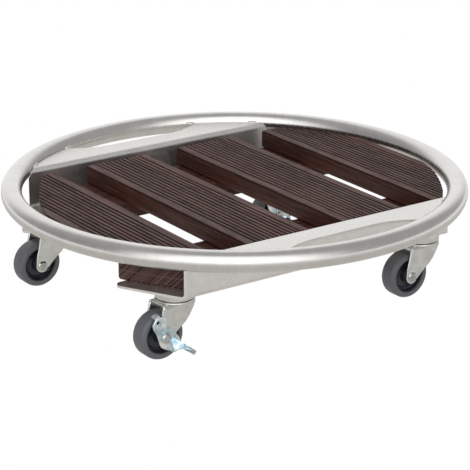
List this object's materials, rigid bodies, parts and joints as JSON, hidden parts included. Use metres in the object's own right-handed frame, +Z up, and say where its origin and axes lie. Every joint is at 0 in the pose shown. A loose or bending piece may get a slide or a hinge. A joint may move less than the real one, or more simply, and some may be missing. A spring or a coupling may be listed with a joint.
{
  "type": "plant pot caddy",
  "caption": "round plant pot caddy: a steel tube ring on two folded rails, a grooved slat deck with cut corners and swivel casters, one pair with a brake",
  "frame": {"origin": "on the floor under the centre of the ring", "axes": "+Z up, the rails run along X, the boards along Y, the front rail with the shown brake is on the -Y side, the first caster is at -X -Y"},
  "size_m": [0.3999, 0.4, 0.103],
  "materials": {
    "stainless": "satin",
    "zinc": "zinc plated",
    "ball_steel": "polished",
    "blue_zinc": "blue zinc",
    "wood": "dark stained, grooved",
    "hub": "moulded",
    "tyre": "matt rubber"
  },
  "bodies": {
    "frame": {"ring_tube": "stainless", "ring_welds": "stainless", "rail_front": "stainless", "rail_rear": "stainless", "board_1": "wood", "board_2": "wood", "board_3": "wood", "board_4": "wood", "batten_front": "wood", "batten_rear": "wood", "slat_screws": "zinc", "deck_screws": "zinc", "caster_studs": "zinc", "caster_nuts": "zinc", "raceway_1": "zinc", "raceway_2": "zinc", "raceway_3": "zinc", "raceway_4": "zinc"},
    "swivel_1": {"fork_1": "zinc", "axle_1": "ball_steel", "sleeve_1": "ball_steel", "balls_1": "ball_steel"},
    "wheel_1": {"core_1": "hub", "tyre_1": "tyre"},
    "swivel_2": {"fork_2": "zinc", "axle_2": "ball_steel", "sleeve_2": "ball_steel", "balls_2": "ball_steel"},
    "wheel_2": {"core_2": "hub", "tyre_2": "tyre"},
    "swivel_3": {"fork_3": "zinc", "axle_3": "ball_steel", "sleeve_3": "ball_steel", "balls_3": "ball_steel"},
    "wheel_3": {"core_3": "hub", "tyre_3": "tyre"},
    "swivel_4": {"fork_4": "zinc", "axle_4": "ball_steel", "sleeve_4": "ball_steel", "balls_4": "ball_steel"},
    "wheel_4": {"core_4": "hub", "tyre_4": "tyre"},
    "brake_1": {"lever_1": "blue_zinc"},
    "brake_3": {"lever_3": "blue_zinc"}
  },
  "joints": [
    {"name": "swivel_turn_1", "type": "hinge", "parent": "frame", "child": "swivel_1", "pos_m": [-0.12354, -0.0945, 0.045], "axis": [0, 0, 1], "continuous": true},
    {"name": "wheel_spin_1", "type": "hinge", "parent": "swivel_1", "child": "wheel_1", "pos_m": [-0.14004, -0.0945, 0.02], "axis": [0, 1, 0], "continuous": true},
    {"name": "swivel_turn_2", "type": "hinge", "parent": "frame", "child": "swivel_2", "pos_m": [0.12354, -0.1023, 0.045], "axis": [0, 0, 1], "continuous": true},
    {"name": "wheel_spin_2", "type": "hinge", "parent": "swivel_2", "child": "wheel_2", "pos_m": [0.10704, -0.1023, 0.02], "axis": [0, 1, 0], "continuous": true},
    {"name": "swivel_turn_3", "type": "hinge", "parent": "frame", "child": "swivel_3", "pos_m": [0.12354, 0.0945, 0.045], "axis": [0, 0, 1], "continuous": true},
    {"name": "wheel_spin_3", "type": "hinge", "parent": "swivel_3", "child": "wheel_3", "pos_m": [0.10704, 0.0945, 0.02], "axis": [0, 1, 0], "continuous": true},
    {"name": "swivel_turn_4", "type": "hinge", "parent": "frame", "child": "swivel_4", "pos_m": [-0.12354, 0.1023, 0.045], "axis": [0, 0, 1], "continuous": true},
    {"name": "wheel_spin_4", "type": "hinge", "parent": "swivel_4", "child": "wheel_4", "pos_m": [-0.14004, 0.1023, 0.02], "axis": [0, 1, 0], "continuous": true},
    {"name": "brake_lift_1", "type": "hinge", "parent": "swivel_1", "child": "brake_1", "pos_m": [-0.14004, -0.0945, 0.02], "axis": [0, -1, 0], "range_deg": [0, 26]},
    {"name": "brake_lift_3", "type": "hinge", "parent": "swivel_3", "child": "brake_3", "pos_m": [0.10704, 0.0945, 0.02], "axis": [0, -1, 0], "range_deg": [0, 26]}
  ]
}
